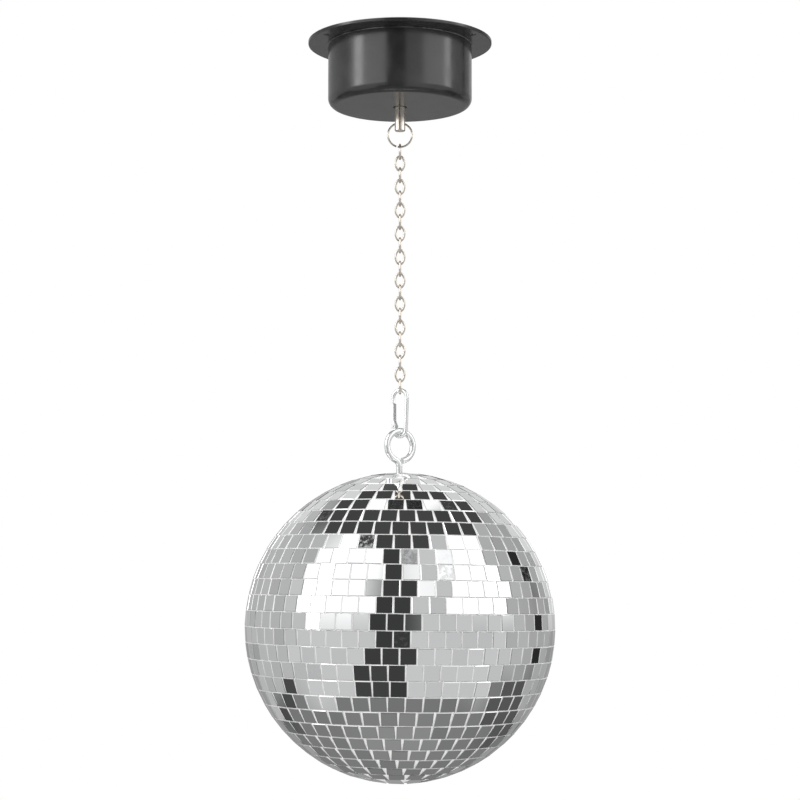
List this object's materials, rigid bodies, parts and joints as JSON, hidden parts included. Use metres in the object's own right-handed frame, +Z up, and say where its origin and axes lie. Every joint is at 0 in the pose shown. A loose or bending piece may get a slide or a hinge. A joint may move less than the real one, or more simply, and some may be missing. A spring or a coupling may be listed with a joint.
{
  "type": "mirror ball",
  "caption": "Mirror ball of flat square glass tiles on a white core, hung by eyebolt, snap hook and link chain from a geared ceiling motor in a round black housing.",
  "frame": {"origin": "centre of the base plate's top face, which meets the ceiling", "axes": "+Z up into the ceiling; the ball hangs along -Z; the front of the object faces -Y and the cable entry faces +Y"},
  "size_m": [0.2, 0.2, 0.482],
  "materials": {
    "painted_steel": "semi-gloss black paint",
    "zinc_screw": "zinc plate",
    "black_rubber": "matte",
    "white_nylon": "moulded",
    "brass": "turned",
    "bronze": "sintered",
    "lead_insulation": "soft sleeve",
    "plated_steel": "zinc plate",
    "copper_coil": "enamelled wire",
    "bright_steel": "ground",
    "ferrite": "sintered",
    "gear_nylon": "moulded",
    "nickel": "nickel plate",
    "chrome": "bright plate",
    "zinc_washer": "zinc plate",
    "white_core": "moulded, with white adhesive",
    "mirror_glass": "silvered glass"
  },
  "bodies": {
    "motor_unit": {"base_plate": "painted_steel", "cover_cup": "painted_steel", "cover_screws": "zinc_screw", "cable_grommet": "black_rubber", "terminal_block": "white_nylon", "terminal_screws": "brass", "lead_wires": "lead_insulation", "standoffs": "plated_steel", "upper_gear_plate": "plated_steel", "gear_spacers": "plated_steel", "lower_gear_plate": "plated_steel", "frame_screws": "zinc_screw", "motor_can": "plated_steel", "pole_ring": "plated_steel", "coil_bobbin": "white_nylon", "coil_winding": "copper_coil", "gear_axles": "bright_steel", "output_bush": "bronze"},
    "rotor": {"rotor_magnet": "ferrite", "rotor_pinion": "gear_nylon"},
    "first_gear": {"first_gear": "gear_nylon"},
    "second_gear": {"second_gear": "gear_nylon"},
    "output": {"output_gear": "gear_nylon", "output_shaft": "nickel", "shaft_clip": "bright_steel"},
    "ring": {"split_ring": "nickel"},
    "link_01": {"chain_link_01": "nickel"},
    "link_02": {"chain_link_02": "nickel"},
    "link_03": {"chain_link_03": "nickel"},
    "link_04": {"chain_link_04": "nickel"},
    "link_05": {"chain_link_05": "nickel"},
    "link_06": {"chain_link_06": "nickel"},
    "link_07": {"chain_link_07": "nickel"},
    "link_08": {"chain_link_08": "nickel"},
    "link_09": {"chain_link_09": "nickel"},
    "link_10": {"chain_link_10": "nickel"},
    "link_11": {"chain_link_11": "nickel"},
    "link_12": {"chain_link_12": "nickel"},
    "link_13": {"chain_link_13": "nickel"},
    "link_14": {"chain_link_14": "nickel"},
    "link_15": {"chain_link_15": "nickel"},
    "link_16": {"chain_link_16": "nickel"},
    "link_17": {"chain_link_17": "nickel"},
    "link_18": {"chain_link_18": "nickel"},
    "link_19": {"chain_link_19": "nickel"},
    "link_20": {"chain_link_20": "nickel"},
    "link_21": {"chain_link_21": "nickel"},
    "hook": {"hook_body": "chrome", "gate_pin": "bright_steel"},
    "gate": {"hook_gate": "chrome", "gate_spring": "bright_steel"},
    "ball": {"eyebolt": "chrome", "eye_washer": "zinc_washer", "eye_nut": "zinc_washer", "core_upper": "white_core", "core_lower": "white_core", "tiles_top_cap": "mirror_glass", "tiles_upper": "mirror_glass", "tiles_lower": "mirror_glass", "tiles_bottom_cap": "mirror_glass"}
  },
  "joints": [
    {"name": "shaft_spin", "type": "hinge", "parent": "motor_unit", "child": "output", "pos_m": [0, 0, -0.045], "axis": [0, 0, -1], "continuous": true},
    {"name": "rotor_spin", "type": "hinge", "parent": "motor_unit", "child": "rotor", "pos_m": [-0.003, 0.015, -0.01], "axis": [0, 0, -1], "continuous": true},
    {"name": "first_gear_spin", "type": "hinge", "parent": "motor_unit", "child": "first_gear", "pos_m": [-0.018, 0.015, -0.025], "axis": [0, 0, -1], "continuous": true},
    {"name": "second_gear_spin", "type": "hinge", "parent": "motor_unit", "child": "second_gear", "pos_m": [-0.018, 0, -0.025], "axis": [0, 0, -1], "continuous": true},
    {"name": "ring_swing", "type": "hinge", "parent": "output", "child": "ring", "pos_m": [0, 0, -0.0535], "axis": [-1, 0, 0], "range_deg": [-60, 60]},
    {"name": "link_01_swing", "type": "hinge", "parent": "ring", "child": "link_01", "pos_m": [0, 0, -0.06913], "axis": [1, 0, 0], "range_deg": [-60, 60]},
    {"name": "link_02_swing", "type": "hinge", "parent": "link_01", "child": "link_02", "pos_m": [0, 0, -0.07697], "axis": [0, 1, 0], "range_deg": [-60, 60]},
    {"name": "link_03_swing", "type": "hinge", "parent": "link_02", "child": "link_03", "pos_m": [0, 0, -0.08466], "axis": [-1, 0, 0], "range_deg": [-60, 60]},
    {"name": "link_04_swing", "type": "hinge", "parent": "link_03", "child": "link_04", "pos_m": [0, 0, -0.09235], "axis": [0, -1, 0], "range_deg": [-60, 60]},
    {"name": "link_05_swing", "type": "hinge", "parent": "link_04", "child": "link_05", "pos_m": [0, 0, -0.10004], "axis": [1, 0, 0], "range_deg": [-60, 60]},
    {"name": "link_06_swing", "type": "hinge", "parent": "link_05", "child": "link_06", "pos_m": [0, 0, -0.10773], "axis": [0, 1, 0], "range_deg": [-60, 60]},
    {"name": "link_07_swing", "type": "hinge", "parent": "link_06", "child": "link_07", "pos_m": [0, 0, -0.11542], "axis": [-1, 0, 0], "range_deg": [-60, 60]},
    {"name": "link_08_swing", "type": "hinge", "parent": "link_07", "child": "link_08", "pos_m": [0, 0, -0.12311], "axis": [0, -1, 0], "range_deg": [-60, 60]},
    {"name": "link_09_swing", "type": "hinge", "parent": "link_08", "child": "link_09", "pos_m": [0, 0, -0.1308], "axis": [1, 0, 0], "range_deg": [-60, 60]},
    {"name": "link_10_swing", "type": "hinge", "parent": "link_09", "child": "link_10", "pos_m": [0, 0, -0.13849], "axis": [0, 1, 0], "range_deg": [-60, 60]},
    {"name": "link_11_swing", "type": "hinge", "parent": "link_10", "child": "link_11", "pos_m": [0, 0, -0.14618], "axis": [-1, 0, 0], "range_deg": [-60, 60]},
    {"name": "link_12_swing", "type": "hinge", "parent": "link_11", "child": "link_12", "pos_m": [0, 0, -0.15387], "axis": [0, -1, 0], "range_deg": [-60, 60]},
    {"name": "link_13_swing", "type": "hinge", "parent": "link_12", "child": "link_13", "pos_m": [0, 0, -0.16156], "axis": [1, 0, 0], "range_deg": [-60, 60]},
    {"name": "link_14_swing", "type": "hinge", "parent": "link_13", "child": "link_14", "pos_m": [0, 0, -0.16925], "axis": [0, 1, 0], "range_deg": [-60, 60]},
    {"name": "link_15_swing", "type": "hinge", "parent": "link_14", "child": "link_15", "pos_m": [0, 0, -0.17694], "axis": [-1, 0, 0], "range_deg": [-60, 60]},
    {"name": "link_16_swing", "type": "hinge", "parent": "link_15", "child": "link_16", "pos_m": [0, 0, -0.18463], "axis": [0, -1, 0], "range_deg": [-60, 60]},
    {"name": "link_17_swing", "type": "hinge", "parent": "link_16", "child": "link_17", "pos_m": [0, 0, -0.19232], "axis": [1, 0, 0], "range_deg": [-60, 60]},
    {"name": "link_18_swing", "type": "hinge", "parent": "link_17", "child": "link_18", "pos_m": [0, 0, -0.20001], "axis": [0, 1, 0], "range_deg": [-60, 60]},
    {"name": "link_19_swing", "type": "hinge", "parent": "link_18", "child": "link_19", "pos_m": [0, 0, -0.2077], "axis": [-1, 0, 0], "range_deg": [-60, 60]},
    {"name": "link_20_swing", "type": "hinge", "parent": "link_19", "child": "link_20", "pos_m": [0, 0, -0.21539], "axis": [0, -1, 0], "range_deg": [-60, 60]},
    {"name": "link_21_swing", "type": "hinge", "parent": "link_20", "child": "link_21", "pos_m": [0, 0, -0.22308], "axis": [1, 0, 0], "range_deg": [-60, 60]},
    {"name": "hook_swing", "type": "hinge", "parent": "link_21", "child": "hook", "pos_m": [0, 0, -0.23077], "axis": [0.2588, 0.9659, 0], "range_deg": [-40, 40]},
    {"name": "gate_open", "type": "hinge", "parent": "hook", "child": "gate", "pos_m": [-0.00381, 0.0022, -0.25195], "axis": [-0.5, -0.866, 0], "range_deg": [-28, 0], "stiffness_Nm_per_rad": 0.02, "springref_deg": 20.05},
    {"name": "ball_swing", "type": "hinge", "parent": "hook", "child": "ball", "pos_m": [0, 0, -0.25875], "axis": [0.7071, -0.7071, 0], "range_deg": [-25, 25]}
  ],
  "couplings": [
    {"joint": "second_gear_spin", "follows": "shaft_spin", "ratio": -4},
    {"joint": "first_gear_spin", "follows": "shaft_spin", "ratio": 20},
    {"joint": "rotor_spin", "follows": "shaft_spin", "ratio": -100}
  ]
}
